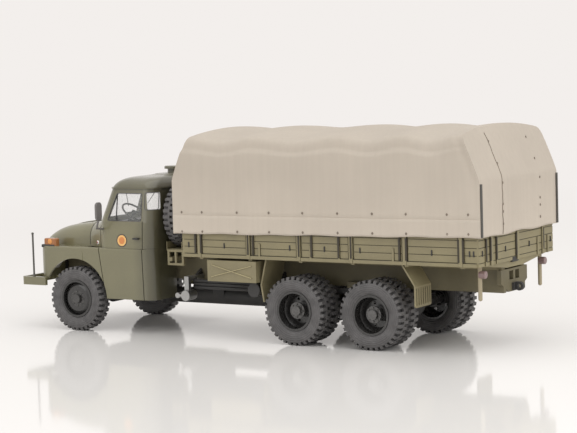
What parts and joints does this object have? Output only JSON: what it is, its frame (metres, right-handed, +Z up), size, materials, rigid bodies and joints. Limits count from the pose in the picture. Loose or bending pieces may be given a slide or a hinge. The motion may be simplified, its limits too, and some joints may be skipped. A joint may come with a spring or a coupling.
{
  "type": "scale model military cargo truck",
  "caption": "Small scale model of a bonneted military cargo truck with a canvas tilt over its load bed, twin rear wheels and turning axles.",
  "frame": {"origin": "ground level under the middle of the overall length", "axes": "+X towards the bonnet, +Y to the truck's left, +Z up"},
  "size_m": [0.198, 0.06, 0.0748],
  "materials": {
    "cab_green": "satin",
    "bed_green": "satin",
    "chassis_black": "satin",
    "rim_black": "gloss",
    "tyre_rubber": "matte",
    "axle_steel": "satin",
    "tilt_canvas": "matte",
    "clear_panes": "gloss",
    "cab_interior": "matte",
    "amber_lens": "gloss",
    "red_lens": "gloss"
  },
  "bodies": {
    "truck": {"cab_shell": "cab_green", "bonnet": "cab_green", "front_wings": "cab_green", "roof_vent": "cab_green", "front_bumper": "cab_green", "bed_floor": "bed_green", "headboard": "bed_green", "bed_side_left": "bed_green", "bed_side_right": "bed_green", "tailgate": "bed_green", "stowage_box": "bed_green", "fuel_tank": "bed_green", "mudguards": "bed_green", "spare_carrier": "bed_green", "chassis_frame": "bed_green", "lamp_posts": "bed_green", "backbone": "chassis_black", "engine": "chassis_black", "rear_springs": "chassis_black", "air_tank": "chassis_black", "grille": "chassis_black", "tow_hook": "chassis_black", "tilt_rods": "chassis_black", "door_handles": "chassis_black", "mirrors": "chassis_black", "width_rods": "chassis_black", "spare_rim": "rim_black", "spare_tyre": "tyre_rubber", "brake_valves": "axle_steel", "tilt": "tilt_canvas", "cab_glazing": "clear_panes", "headlamps": "clear_panes", "cab_floor": "cab_interior", "dashboard": "cab_interior", "seats": "cab_interior", "steering_wheel": "cab_interior", "indicators": "amber_lens", "tail_lamps": "red_lens"},
    "front_wheelset": {"front_tyres": "tyre_rubber", "front_rims": "rim_black", "front_axle_rod": "axle_steel"},
    "mid_wheelset": {"mid_tyres": "tyre_rubber", "mid_rims": "rim_black", "mid_axle_rod": "axle_steel"},
    "rear_wheelset": {"rear_tyres": "tyre_rubber", "rear_rims": "rim_black", "rear_axle_rod": "axle_steel"}
  },
  "joints": [
    {"name": "front_axle_turn", "type": "hinge", "parent": "truck", "child": "front_wheelset", "pos_m": [0.0735, 0, 0.012], "axis": [0, 1, 0], "continuous": true},
    {"name": "mid_axle_turn", "type": "hinge", "parent": "truck", "child": "mid_wheelset", "pos_m": [-0.0242, 0, 0.012], "axis": [0, 1, 0], "continuous": true},
    {"name": "rear_axle_turn", "type": "hinge", "parent": "truck", "child": "rear_wheelset", "pos_m": [-0.0549, 0, 0.012], "axis": [0, 1, 0], "continuous": true}
  ]
}
